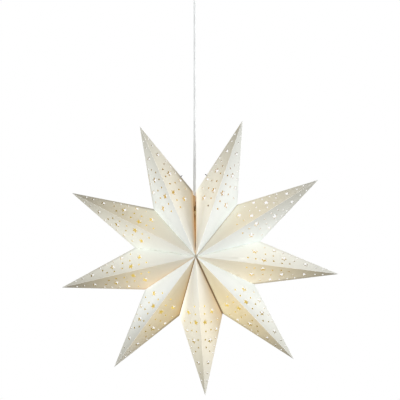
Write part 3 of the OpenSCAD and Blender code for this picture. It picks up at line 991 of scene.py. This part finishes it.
@dataclass
class PaperStar:
    """The nine bags, clockwise from the open seam."""

    shape: StarShape
    finish: PaperFinish
    bulb_height: float = 0.005
    # How much painted glow each bag's inside gets, less in the upper bags next to the holder
    lamps: tuple[float, ...] = (0.1, 0.4, 0.6, 0.9, 1.0, 1.0, 1.0, 0.8, 0.35)
    # Each panel's painted glow, thrown-back light, shade, fold and valley shade and seam spill, left and right
    # panel of each bag
    looks: tuple[tuple[PanelLook, PanelLook], ...] = (
        (PanelLook(0.18, 0.67, -0.12, 0.05, 0.95, 0.00, 0.17, 0.02, 0.05, 0.45),
         PanelLook(0.00, 0.35, -0.12, 0.11, 0.47, 0.00, 0.08, 0.04, 0.00)),
        (PanelLook(0.28, 0.10, -0.12, 0.00, 0.32, 0.00, 0.07, 0.14, 0.45),
         PanelLook(0.03, 0.23, -0.12, 0.05, 0.95, 0.00, 0.19, 0.06, 0.00)),
        (PanelLook(0.14, 0.09, -0.12, 0.00, 0.42, 0.00, 0.14, 0.17, 0.00),
         PanelLook(0.30, 0.10, 0.03, 0.05, 0.95, 0.00, 0.38, 0.45, 0.00)),
        (PanelLook(0.00, 0.21, -0.12, 0.09, 0.57, 0.04, 0.10, 0.04, 0.00),
         PanelLook(0.45, 0.07, -0.12, 0.00, 0.72, 0.00, 0.22, 0.32, 0.85)),
        (PanelLook(0.20, -0.52, 0.10, 0.00, 0.39, 0.07, 0.02, 0.12, 0.85),
         PanelLook(0.13, 0.90, -0.08, 0.00, 0.95, 0.09, 0.02, 0.02, 0.00)),
        (PanelLook(0.34, -1.10, -0.12, 0.14, 0.09, 0.00, 0.16, 0.52, 0.80),
         PanelLook(0.00, 0.35, -0.12, 0.05, 0.95, 0.00, 0.21, 0.20, 0.00)),
        (PanelLook(0.24, -0.24, 0.18, 0.05, 0.95, 0.00, 0.13, 0.22, 0.10),
         PanelLook(0.11, 0.14, -0.12, 0.13, 0.72, 0.00, 0.29, 0.29, 0.00)),
        (PanelLook(0.13, 0.15, -0.12, 0.00, 0.95, 0.02, 0.07, 0.16, 0.00),
         PanelLook(0.24, -0.09, -0.12, 0.01, 0.95, 0.00, 0.31, 0.50, 0.00)),
        (PanelLook(0.00, 0.46, -0.12, 0.20, 0.66, 0.04, 0.16, 0.20, 0.00),
         PanelLook(0.15, -0.56, -0.06, 0.00, 0.55, 0.05, 0.02, 0.58, 0.00, 0.80)))

    def build(self) -> list[bpy.types.Object]:
        """Makes and dresses the bags.

        Returns:
            The pieces.
        """
        centre = self.shape.frame @ Vector((0, 0, 0))
        material = self.finish.make(self.shape.frame @ Vector((0, 0, self.bulb_height)), centre)
        made = []
        for number, ((left, right), lamp) in enumerate(zip(self.looks, self.lamps), start=1):
            piece = dressed(FoldedBag(self.shape, number, left, right, lamp).build(), material)
            LOG.info("bag %d: %d faces", number, len(piece.data.polygons))
            made.append(piece)
        return made


@dataclass
class HangingCord:
    """The cord, taut under the lantern's weight, from the rose's grip to the holder's grip."""

    route_mm: tuple[Place, ...] = (
        (0, 0, -67), (0, 0, -300), (0, 0, -478), (0.15, 0, -490), (0.6, 0, -502),
        (1.3, 0, -514.8), (2.32, 0, -534.2))
    diameter: float = 0.0055
    step: float = 0.014

    def build(self, material: bpy.types.Material) -> bpy.types.Object:
        """Args:
            material: The sheath's material.

        Returns:
            The piece.
        """
        route = [Vector(p) * MM for p in self.route_mm]
        points = self.spaced(route)
        points.reverse()
        curve = bpy.data.curves.new("cord_sheath", "CURVE")
        curve.dimensions = "3D"
        curve.bevel_depth = self.diameter / 2
        curve.bevel_resolution = 5
        curve.use_fill_caps = True
        spline = curve.splines.new("POLY")
        spline.points.add(len(points) - 1)
        for item, point in zip(spline.points, points):
            item.co = (*point, 1.0)
        spline.use_smooth = True
        piece = bpy.data.objects.new("cord_sheath", curve)
        bpy.context.scene.collection.objects.link(piece)
        curve.materials.append(material)
        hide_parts("cord")
        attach(piece, "root")
        length = sum((b - a).length for a, b in zip(points, points[1:]))
        LOG.info("cord: %.3f m", length)
        return piece

    def spaced(self, route: Sequence[Vector]) -> list[Vector]:
        """Adds points along a route, so that none lie further apart than the step.

        Args:
            route: The route's points.

        Returns:
            The finer route.
        """
        points = []
        for start, end in zip(route, route[1:]):
            count = max(1, math.ceil((end - start).length / self.step))
            points += [start.lerp(end, k / count) for k in range(count)]
        return points + [route[-1]]


@dataclass
class LampHolder:
    """The small lamp holder inside the star, its bulb and the wire bracket."""

    shape: StarShape
    white: PlasticFinish = PlasticFinish("holder_plastic", (0.86, 0.86, 0.84), 0.38)
    nylon: PlasticFinish = PlasticFinish("grip_nylon", (0.84, 0.84, 0.82), 0.5)
    ceramic: PlasticFinish = PlasticFinish("insert_ceramic", (0.8, 0.79, 0.74), 0.6, 500.0, 0.2)
    insulation: PlasticFinish = PlasticFinish("core_insulation", (0.07, 0.2, 0.5), 0.35)
    brass: MetalFinish = MetalFinish("pressed_brass", (0.8, 0.6, 0.28), 0.25)
    steel: MetalFinish = MetalFinish("plated_screws", (0.72, 0.72, 0.7), 0.3)
    wire: MetalFinish = MetalFinish("spring_wire", (0.02, 0.02, 0.022), 0.45)
    bulb: BulbFinish = BulbFinish()
    bulb_height: float = 0.0053
    bulb_cap_from: float = 0.0295

    def build(self) -> list[bpy.types.Object]:
        """Softens and dresses the pieces.

        Returns:
            The pieces.
        """
        ball = self.shape.frame @ Vector((0, 0, self.bulb_height))
        finishes = [
            ("holder_cap", 0.4 * MM, self.white.make(), "holder_plastic"),
            ("holder_grip", 0.3 * MM, self.nylon.make(), "grip_nylon"),
            ("holder_insert", 0.2 * MM, self.ceramic.make(), "insert_ceramic"),
            ("screw_shell", 0.05 * MM, self.brass.make(), "brass"),
            ("wire_bracket", 0.0, self.wire.make(), "spring_wire"),
            ("terminal_screws", 0.1 * MM, self.steel.make(), "plated_steel"),
            ("holder_cores", 0.0, self.insulation.make(), "core_insulation"),
            ("bulb", 0.0, self.bulb.make(ball, self.bulb_cap_from), "bulb_opal")]
        shared = {slot: material for _, _, material, slot in finishes}
        finishes += [
            ("holder_barrel", 0.3 * MM, shared["holder_plastic"], "holder_plastic"),
            ("shade_ring", 0.3 * MM, shared["holder_plastic"], "holder_plastic"),
            ("centre_contact", 0.1 * MM, shared["brass"], "brass")]
        return all_dressed(finishes)


@dataclass
class CeilingRose:
    """The rose above the picture: cup, strap, screws, grip, nut, terminal block and cores."""

    cup: PlasticFinish = PlasticFinish("rose_plastic", (0.88, 0.88, 0.87), 0.22)
    nylon: PlasticFinish = PlasticFinish("rose_grip_nylon", (0.84, 0.84, 0.82), 0.5)
    block: PlasticFinish = PlasticFinish("block_plastic", (0.8, 0.77, 0.68), 0.45)
    insulation: PlasticFinish = PlasticFinish("rose_core_insulation", (0.07, 0.2, 0.5), 0.35)
    steel: MetalFinish = MetalFinish("zinc_plated_steel", (0.74, 0.74, 0.72), 0.28)

    def build(self) -> list[bpy.types.Object]:
        """Softens and dresses the pieces.

        Returns:
            The pieces.
        """
        steel = self.steel.make()
        finishes = [
            ("rose_cup", 0.6 * MM, self.cup.make(), "rose_plastic"),
            ("rose_strap", 0.2 * MM, steel, "plated_steel"),
            ("side_screws", 0.2 * MM, steel, "plated_steel"),
            ("rose_nut", 0.3 * MM, steel, "plated_steel"),
            ("rose_grip", 0.4 * MM, self.nylon.make(), "grip_nylon"),
            ("terminal_block", 0.3 * MM, self.block.make(), "block_plastic"),
            ("rose_cores", 0.0, self.insulation.make(), "core_insulation")]
        return all_dressed(finishes)


class LampPlace(Enum):
    """Where a studio lamp stands: its name, its place and its power in watts."""

    LEFT = ("left_lamp", (-1.5, -0.2, -0.5), 18.0)
    RIGHT = ("right_lamp", (1.5, -0.2, -0.4), 18.5)
    FRONT = ("front_lamp", (0.5, -2.4, -0.1), 18.0)


@dataclass
class Studio:
    """Camera, lamps and the white surround."""

    distance: float = 2.5
    azimuth: float = 3.1
    lens: float = 105.8
    aim: Place = (0.0116, 0.0, -0.5091)
    star: Place = (0.007, 0.0, -0.625)
    side_size: Reach = (0.3, 1.6)
    front_size: Reach = (0.9, 0.9)
    surround: Colour = (0.25, 0.25, 0.245)

    def build(self) -> None:
        """Makes the camera, the lamps and the world."""
        self.add_camera()
        for place in LampPlace:
            self.add_lamp(place)
        self.add_world()

    def add_camera(self) -> None:
        """Stands the camera a little to the right, level, at the picture's middle height."""
        turn = math.radians(self.azimuth)
        data = bpy.data.cameras.new("camera")
        data.lens = self.lens
        camera = bpy.data.objects.new("camera", data)
        camera.location = Vector(self.aim) + Vector((math.sin(turn), -math.cos(turn), 0)) * self.distance
        camera.rotation_euler = (math.radians(90), 0, turn)
        bpy.context.scene.collection.objects.link(camera)
        bpy.context.scene.camera = camera

    def add_lamp(self, place: LampPlace) -> None:
        """Stands a large soft lamp that looks at the star.

        Args:
            place: Where it stands.
        """
        name, where, power = place.value
        data = bpy.data.lights.new(name, "AREA")
        data.shape = "RECTANGLE"
        data.size, data.size_y = self.front_size if place is LampPlace.FRONT else self.side_size
        data.energy = power
        lamp = bpy.data.objects.new(name, data)
        lamp.location = where
        lamp.rotation_euler = (Vector(self.star) - lamp.location).to_track_quat("-Z", "Y").to_euler()
        bpy.context.scene.collection.objects.link(lamp)

    def add_world(self) -> None:
        """Makes a plain surround that looks white to the camera, in glass and in metal."""
        world = bpy.data.worlds.new("surround")
        bpy.context.scene.world = world
        world.use_nodes = True
        nodes, links = world.node_tree.nodes, world.node_tree.links
        nodes.clear()
        path = nodes.new("ShaderNodeLightPath")
        seen = path.outputs["Is Camera Ray"]
        for ray in ("Is Glossy Ray", "Is Transmission Ray"):
            either = nodes.new("ShaderNodeMath")
            either.operation = "MAXIMUM"
            links.new(seen, either.inputs[0])
            links.new(path.outputs[ray], either.inputs[1])
            seen = either.outputs[0]
        mix = nodes.new("ShaderNodeMix")
        mix.data_type = "RGBA"
        links.new(seen, mix.inputs[0])
        mix.inputs[6].default_value = (*self.surround, 1.0)
        mix.inputs[7].default_value = (1.0, 1.0, 1.0, 1.0)
        background = nodes.new("ShaderNodeBackground")
        links.new(mix.outputs[2], background.inputs["Color"])
        output = nodes.new("ShaderNodeOutputWorld")
        links.new(background.outputs[0], output.inputs["Surface"])
        bpy.context.scene.view_settings.view_transform = "Standard"


def main() -> None:
    """Builds the studio and the lantern in order."""
    logging.basicConfig(level=logging.INFO, format="%(name)s: %(message)s")
    shape = StarShape()
    Studio().build()
    sheath = PlasticFinish("cord_sheath", (0.9, 0.92, 0.92), 0.32, 900.0, 0.05)
    HangingCord().build(sheath.make())
    PaperStar(shape, PaperFinish()).build()
    LampHolder(shape).build()
    CeilingRose().build()


if __name__ == "__main__":
    main()
